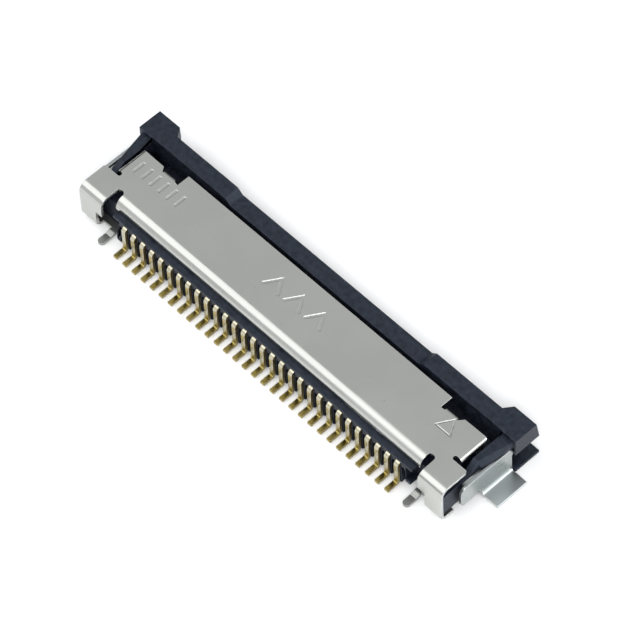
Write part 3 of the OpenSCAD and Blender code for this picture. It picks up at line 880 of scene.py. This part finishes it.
def ruling_normal(near):
    """The largest face rules where it is far larger than the next, and otherwise they are blended."""
    near = sorted(near, key=lambda face: face.area, reverse=True)
    if len(near) == 1 or near[0].area > RULING_SHARE * near[1].area:
        return near[0].normal.copy()
    return sum((face.normal * face.area for face in near), Vector()).normalized()


def settle_normals(mesh, rounding):
    """The normal of every corner: flat on flat faces, round on bends, blended on the roundings."""
    around = [[] for _ in mesh.vertices]
    for face in mesh.polygons:
        for i in face.vertices:
            around[i].append(face)
    normals = [None] * len(mesh.loops)
    for face in mesh.polygons:
        longest = max((mesh.vertices[a].co - mesh.vertices[b].co).length for a, b in face.edge_keys)
        wide = not rounding[face.index] and face.area / longest > BEND_STRIP
        reach = ROUNDING_REACH if rounding[face.index] else BEND_REACH
        for corner in face.loop_indices:
            touching = around[mesh.loops[corner].vertex_index]
            near = [g for g in touching if not rounding[g.index] and g.normal.dot(face.normal) > reach]
            if not near:
                near = [g for g in touching if g.normal.dot(face.normal) > reach]
            normals[corner] = face.normal.copy() if wide else ruling_normal(near)
    return normals


def even_bends(mesh, normals, bends):
    """Gives the corners on a bend the exact normals of its cylinder.

    A bend is the number of its axis, a point on it, the quarter that it turns through and its two radii.
    """
    changed = 0
    for face in mesh.polygons:
        for corner in face.loop_indices:
            point = mesh.vertices[mesh.loops[corner].vertex_index].co
            for axis, centre, outwards, radii in bends:
                arm = point - centre
                arm[axis] = 0.0
                turned = min(arm[i] * outwards[i] for i in range(3)) > -BEND_SLACK
                if not turned or min(abs(arm.length - r) for r in radii) > BEND_SLACK:
                    continue
                facing = face.normal.dot(arm.normalized())
                if abs(facing) > BEND_FACING:
                    normals[corner] = arm.normalized() * math.copysign(1.0, facing)
                    changed += 1
    print("corners on the cover's bends:", changed)


print("normals tools ready")

# %% [markdown]
# ### Rounding and dressing
# The roundings are 0.02 mm on the housing and the sheet, and less on the thin contacts. An edge stays
# sharp where a face beside it is too narrow to hold a rounding. The stamped marks are cut before the
# rounding, so that they get roundings as well.

# %% Dress one solid
SHARP_ABOVE = math.radians(38)
ROUNDING_ROOM = 1.6


def face_width(face):
    """About how wide a face is across its longest edge."""
    return face.calc_area() / max(edge.calc_length() for edge in face.edges)


def dress(node, materials, round_mm, joins=(), bends=()):
    """A copy of a solid with rounded edges and its finishes, riding on the solid's body."""
    work = joined_faces(node)
    grooves = stamp_marks(work) if node == "lock_cover" else []
    if len(materials) > 1:
        mark_hooked_faces(work)
    for face in grooves:
        face.material_index = 2
    for neighbour in joins:
        other = joined_faces(neighbour)
        print("seam faces between", node, "and", neighbour, open_the_seam(work, other))
        other.free()
    sharp = [
        e for e in work.edges
        if len(e.link_faces) == 2
        and e.calc_face_angle(0.0) > SHARP_ABOVE
        and all(face_width(f) > ROUNDING_ROOM * round_mm * MM for f in e.link_faces)
    ]
    rounded_faces = set(bmesh.ops.bevel(
        work, geom=sharp, offset=round_mm * MM, offset_type="OFFSET", segments=2,
        profile=0.5, affect="EDGES", clamp_overlap=False, material=-1,
    )["faces"])
    rounding = [face in rounded_faces for face in work.faces]
    for face in work.faces:
        face.smooth = True
    mesh = bpy.data.meshes.new("dressed_" + node)
    work.to_mesh(mesh)
    work.free()
    for material in materials:
        mesh.materials.append(material)
    normals = settle_normals(mesh, rounding)
    if bends:
        even_bends(mesh, normals, bends)
    mesh.normals_split_custom_set(normals)
    piece = linked("dressed_" + node, mesh)
    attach(piece, body_of[node])
    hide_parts(node)


print("dressing tools ready")

# %% Dress every solid
HOUSING_ROUND_MM = 0.022
SHEET_ROUND_MM = 0.020
CONTACT_ROUND_MM = 0.008
ROLL_RADII = (0.45 * MM, 0.32 * MM)
FLANGE_RADII = (0.20 * MM, 0.07 * MM)
cover_low, cover_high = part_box("lock_cover")
roll_axis = Vector((0.0, cover_low.y + ROLL_RADII[0], cover_high.z - ROLL_RADII[0]))
flange_right = Vector((cover_high.x - FLANGE_RADII[0], 0.0, cover_high.z - FLANGE_RADII[0]))
flange_left = Vector((cover_low.x + FLANGE_RADII[0], 0.0, cover_high.z - FLANGE_RADII[0]))
BENDS = {
    "lock_cover": [
        (0, roll_axis, (0, -1, 1), ROLL_RADII),
        (1, flange_right, (1, 0, 1), FLANGE_RADII),
        (1, flange_left, (-1, 0, 1), FLANGE_RADII),
    ],
}
SEAMS = {
    "lock_cover": ("bracket_left", "bracket_right"),
    "bracket_left": ("lock_cover",),
    "bracket_right": ("lock_cover",),
}
SHEET_FINISHES = {
    "lock_cover": cover_steel,
    "bracket_left": cover_steel,
    "bracket_right": cover_steel,
    "hold_down_left": tin,
    "hold_down_right": tin,
}
contacts = sorted(name for name in frame["nodes"] if name.startswith("contact_"))
dress("housing", [resin.material], HOUSING_ROUND_MM)
for node, finish in SHEET_FINISHES.items():
    materials = [finish.material, steel_edge.material, stamped.material]
    dress(node, materials, SHEET_ROUND_MM, SEAMS.get(node, ()), BENDS.get(node, ()))
for node in contacts:
    dress(node, [gold.material, gold_edge.material], CONTACT_ROUND_MM)
print("dressed", 1 + len(SHEET_FINISHES) + len(contacts), "solids")
